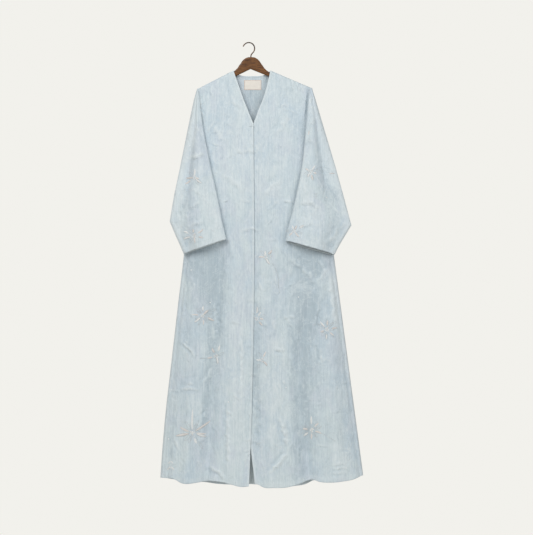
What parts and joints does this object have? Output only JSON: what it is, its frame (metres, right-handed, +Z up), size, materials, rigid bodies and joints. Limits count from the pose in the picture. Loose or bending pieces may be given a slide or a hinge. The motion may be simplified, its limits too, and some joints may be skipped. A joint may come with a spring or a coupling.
{
  "type": "abaya on hanger",
  "caption": "Long open-front abaya with a V neck and wide sleeves folded over the body, hanging from a wooden coat hanger by its hook.",
  "frame": {"origin": "the underside of the hook's crown, where a rail carries it", "axes": "+Z up, +X to the viewer's right when facing the front (the wearer's left), the front faces -Y"},
  "size_m": [0.7077, 0.1019, 1.5539],
  "materials": {
    "cloth": "matt slubbed weave",
    "label": "matt woven tape",
    "wood": "satin varnish",
    "hook": "dark satin"
  },
  "bodies": {
    "root": {"front_right": "cloth", "front_left": "cloth", "back": "cloth", "sleeve_right": "cloth", "sleeve_left": "cloth", "neck_facing": "cloth", "neck_label": "label", "hanger_wood": "wood", "hanger_hook": "hook"}
  },
  "joints": []
}
